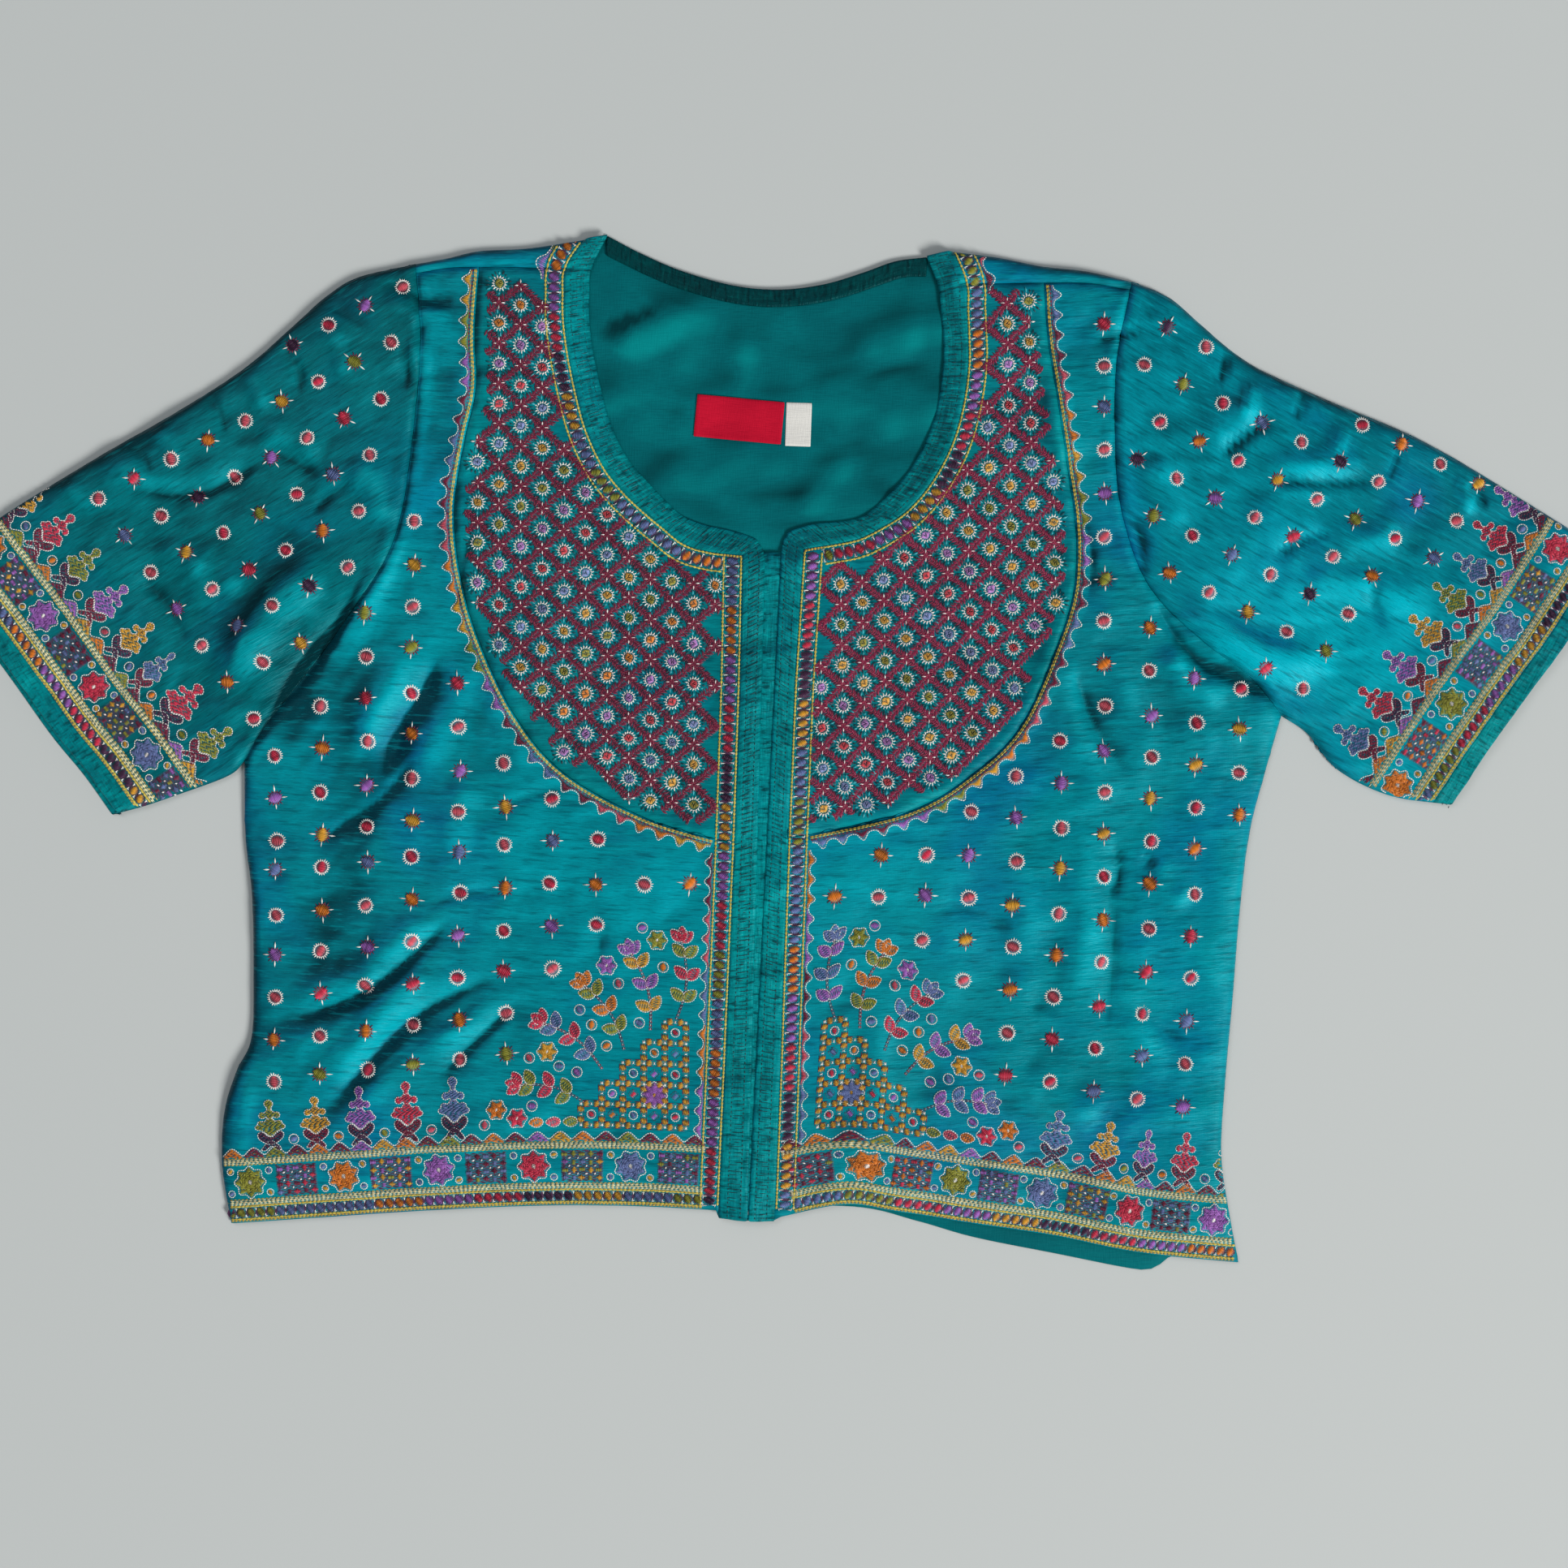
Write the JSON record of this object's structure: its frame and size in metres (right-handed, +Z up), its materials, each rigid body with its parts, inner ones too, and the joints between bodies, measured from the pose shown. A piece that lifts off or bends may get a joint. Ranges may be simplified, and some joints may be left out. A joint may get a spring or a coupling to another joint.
{
  "type": "choli blouse",
  "caption": "Short-sleeved open-front silk choli blouse laid flat with its front up: embroidered yoke, bound scoop neck, hook placket, bordered hem and cuffs.",
  "frame": {"origin": "middle of the laid-out blouse's plan box, on the surface it lies on", "axes": "+X across the chest towards the wearer's left sleeve, +Y from the hem to the neck, +Z up out of the front of the blouse"},
  "size_m": [0.8543, 0.5218, 0.0058],
  "materials": {
    "silk_body": "plain-woven turquoise silk shot with blue, slubby, soft sheen",
    "silk_yoke": "turquoise silk closely embroidered with maroon lattice and ringed dots",
    "silk_binding": "folded bias silk, two rows of topstitching, small puckers",
    "lining": "plain smooth dark teal lining cotton",
    "embroidery_thread": "stranded floss in many colours, soft gloss",
    "label_red": "woven satin label, plain",
    "label_white": "plain white printed-tape care label, blank"
  },
  "bodies": {
    "root": {"back_panel": "silk_body", "back_neck_facing": "silk_binding", "front_r": "silk_body", "front_l": "silk_body", "yoke_r": "silk_yoke", "yoke_l": "silk_yoke", "neck_binding_r": "silk_binding", "neck_binding_l": "silk_binding", "placket_r": "silk_binding", "placket_l": "silk_binding", "placket_underlap": "silk_binding", "sleeve_r": "silk_body", "sleeve_l": "silk_body", "cuff_band_r": "silk_binding", "cuff_band_l": "silk_binding", "label": "label_red", "label_tab": "label_white"}
  },
  "joints": []
}
